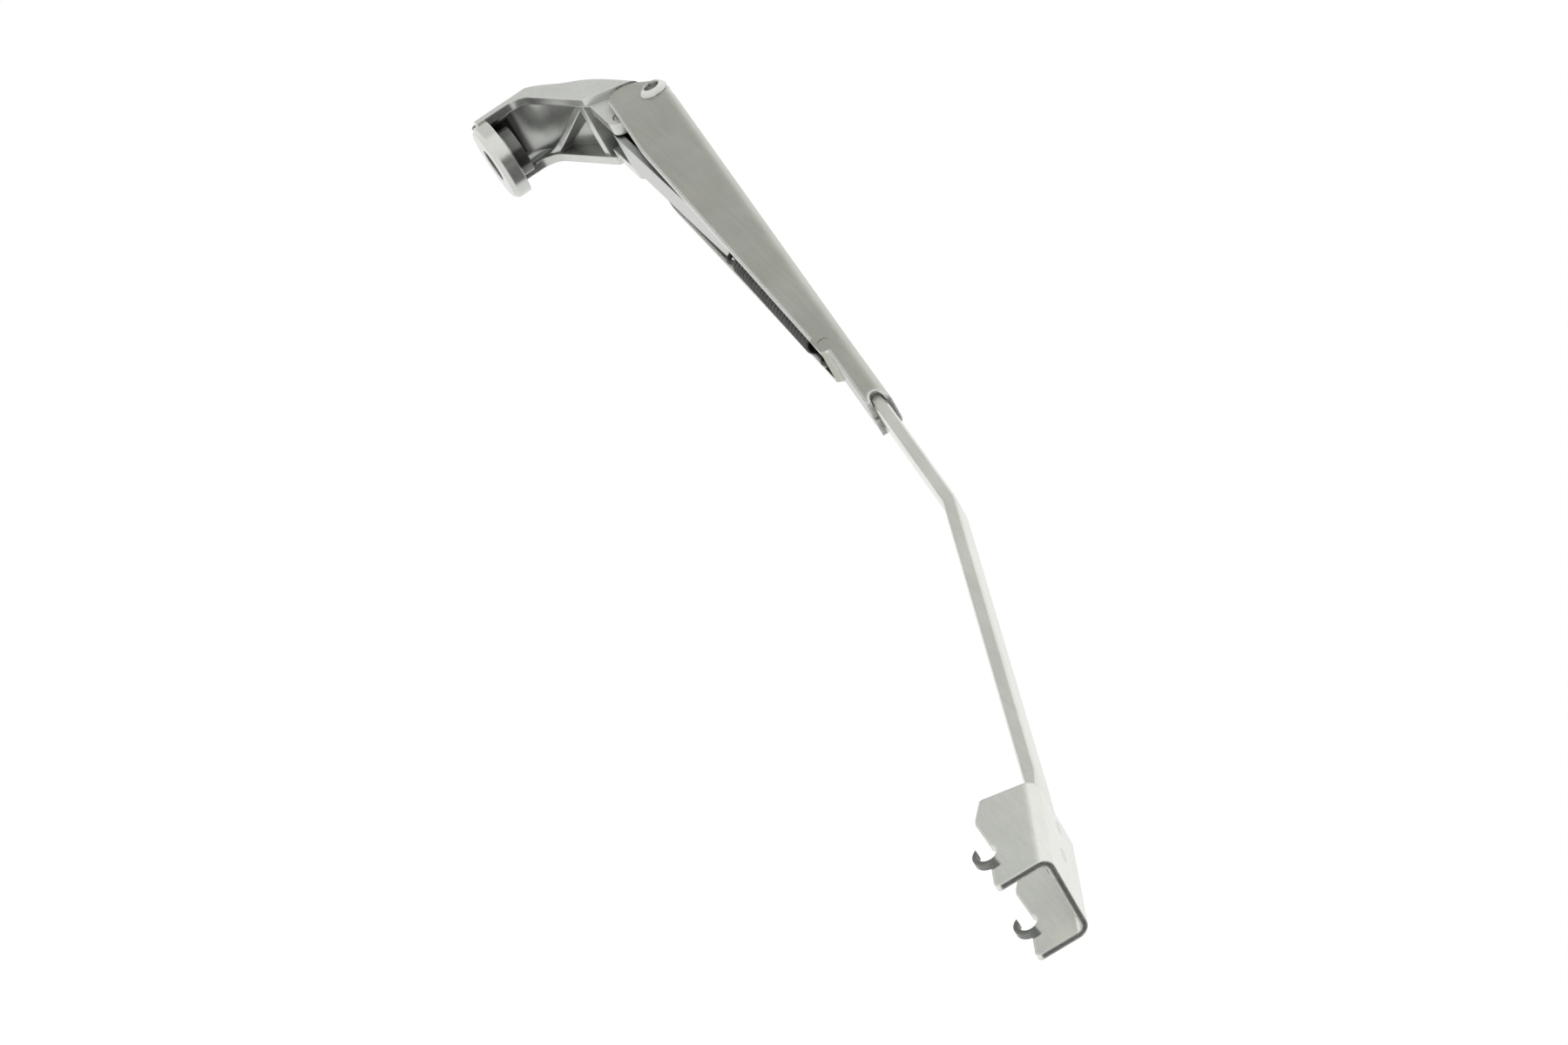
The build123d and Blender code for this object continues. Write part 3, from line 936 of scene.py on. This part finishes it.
@dataclass(frozen=True)
class Card:
    """An upright card that the camera doesn't see and that metal mirrors.

    Attributes:
        name: Name of the card.
        place: Its middle.
        size: Its width and height.
        facing: Azimuth of its normal in degrees.
        grey: How bright it is at height 0.
        fade: How much darker it gets per metre of height, negative where it gets brighter.
    """

    name: str
    place: Point
    size: tuple[float, float]
    facing: float
    grey: float
    fade: float = 0.0

    def corners(self) -> list[Point]:
        """Its four corners.

        Returns:
            The corners in order.
        """
        across = Matrix.Rotation(math.radians(self.facing), 3, "Z") @ Vector((0.0, 1.0, 0.0))
        middle = Vector(self.place)
        half = across * (self.size[0] / 2.0)
        rise = Vector((0.0, 0.0, self.size[1] / 2.0))
        low = [middle - half - rise, middle + half - rise]
        high = [middle + half + rise, middle - half + rise]
        return [tuple(corner) for corner in low + high]

    def material(self) -> bpy.types.Material:
        """Builds its glowing material, even or brighter with height.

        Returns:
            The material.
        """
        made = bpy.data.materials.new(self.name)
        graph = ShaderGraph(made)
        colour: Colour | Socket = (self.grey, self.grey, self.grey)
        if self.fade:
            height = graph.axis(graph.place(), "Z")
            colour = graph.tint(self.grey - height * self.fade, BLACK, WHITE)
        glow = graph.node("ShaderNodeEmission", {"Color": colour, "Strength": 1.0})
        graph.node("ShaderNodeOutputMaterial", {"Surface": graph.out(glow)})
        return made


@dataclass(frozen=True)
class Lamp:
    """A square area lamp.

    Attributes:
        place: Its middle.
        size: Length of its side in metres.
        power: Power in watts.
    """

    place: Point
    size: float
    power: float


@dataclass
class Studio:
    """A pale floor well below the arm, soft lamps, a white surround and cards that metal mirrors.

    Attributes:
        floor_height: Height of the floor.
        floor_size: Length of the floor's side.
        floor_grey: How pale the floor is.
        floor_glow: Strength of the floor's white where it is seen.
        floor_white: Share of that white, over the floor's own colour and shadow.
        lamps: The area lamps.
        target: Where the lamps point.
        soft_light: Strength of the surround where it lights a matt surface.
        sky_rise: How much stronger that is straight above.
        cards: The cards that metal mirrors.
    """

    floor_height: float = -0.30
    floor_size: float = 14.0
    floor_grey: float = 0.88
    floor_glow: float = 1.045
    floor_white: float = 0.94
    lamps: tuple[Lamp, ...] = (
        Lamp((-0.28, -0.79, 0.63), size=0.8, power=12.0),
        Lamp((0.5, 0.1, 1.1), size=0.9, power=2.0),
    )
    target: Point = (0.16, 0.0, 0.01)
    soft_light: float = 0.32
    sky_rise: float = 0.22
    cards: tuple[Card, ...] = (
        Card("dark_card", (1.25, 0.35, 0.25), (2.6, 1.06), facing=198.0, grey=0.03),
        Card("grey_card", (-0.75, -0.62, 0.21), (1.6, 0.86), facing=34.0, grey=0.53, fade=-0.5),
    )

    def seen(self, graph: ShaderGraph) -> Socket:
        """1 for rays from the camera, off metal and through glass, 0 for the others.

        Args:
            graph: The nodes of the material or world.

        Returns:
            The share.
        """
        path = graph.node("ShaderNodeLightPath")
        camera, glossy = graph.out(path, "Is Camera Ray"), graph.out(path, "Is Glossy Ray")
        return (camera + glossy + graph.out(path, "Is Transmission Ray")).clamped()

    def square(self, name: str, corners: list[Point], material: bpy.types.Material) -> bpy.types.Object:
        """A flat four-sided piece of the studio.

        Args:
            name: Name of the piece.
            corners: Its corners in order.
            material: Its material.

        Returns:
            The object, attached to no body.
        """
        mesh = bpy.data.meshes.new(name)
        mesh.from_pydata(corners, [], [(0, 1, 2, 3)])
        material.cycles.emission_sampling = "NONE"
        mesh.materials.append(material)
        made = bpy.data.objects.new(name, mesh)
        bpy.context.scene.collection.objects.link(made)
        return made

    def world(self) -> None:
        """White where it is seen or mirrored, softer where it lights."""
        world = bpy.data.worlds.new("studio")
        world.cycles.sampling_method = "NONE"
        bpy.context.scene.world = world
        graph = ShaderGraph(world)
        seen = self.seen(graph)
        height = graph.axis(graph.out(graph.node("ShaderNodeTexCoord"), "Generated"), "Z")
        strength = seen + (1.0 - seen) * (self.soft_light + self.sky_rise * height)
        sky = graph.node("ShaderNodeBackground", {"Color": WHITE, "Strength": strength})
        graph.node("ShaderNodeOutputWorld", {"Surface": graph.out(sky)})

    def floor(self) -> None:
        """A plain pale square that shows nearly white and keeps a faint shadow."""
        half = self.floor_size / 2.0
        turns = ((-half, -half), (half, -half), (half, half), (-half, half))
        corners = [(x, y, self.floor_height) for x, y in turns]
        material = bpy.data.materials.new("floor")
        graph = ShaderGraph(material)
        pale = (self.floor_grey, self.floor_grey, self.floor_grey)
        shade = graph.node("ShaderNodeBsdfDiffuse", {"Color": pale})
        glow = graph.node("ShaderNodeEmission", {"Color": WHITE, "Strength": self.floor_glow})
        share = self.seen(graph) * self.floor_white
        inputs = {0: share, 1: graph.out(shade), 2: graph.out(glow)}
        mix = graph.node("ShaderNodeMixShader", inputs)
        graph.node("ShaderNodeOutputMaterial", {"Surface": graph.out(mix)})
        self.square("floor", corners, material)

    def mirrored(self) -> None:
        """Adds the cards, which only metal shows."""
        for card in self.cards:
            made = self.square(card.name, card.corners(), card.material())
            made.visible_camera = False
            made.visible_diffuse = False
            made.visible_shadow = False

    def light(self) -> None:
        """Adds the area lamps, each turned to the arm and not mirrored by it."""
        for number, lamp in enumerate(self.lamps):
            data = bpy.data.lights.new(f"lamp_{number}", "AREA")
            data.size = lamp.size
            data.energy = lamp.power
            made = bpy.data.objects.new(f"lamp_{number}", data)
            bpy.context.scene.collection.objects.link(made)
            made.visible_glossy = False
            place = Vector(lamp.place)
            aim = (place - Vector(self.target)).to_track_quat("Z", "Y")
            made.matrix_world = Matrix.Translation(place) @ aim.to_matrix().to_4x4()

    def build(self) -> None:
        """Builds the world, the floor, the cards and the lamps."""
        self.world()
        self.floor()
        self.mirrored()
        self.light()
        bpy.context.scene.view_settings.view_transform = "Standard"


def main() -> None:
    """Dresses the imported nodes, adds the scene's own pieces and sets the studio."""
    logging.basicConfig(level=logging.INFO, format="%(name)s: %(message)s")
    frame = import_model()
    wardrobe = Wardrobe()
    for node, finish in DRESS.items():
        wardrobe.dress(frame["nodes"][node], finish)
        log.info("dressed %s in %s", node, finish.value.name)
    for part in (CoilSpring(), HingeRivet()):
        log.info("built %s", part.build(wardrobe).name)
    Studio().build()
    PhotoCamera().build()
    log.info("set the studio and the camera")


if __name__ == "__main__":
    main()
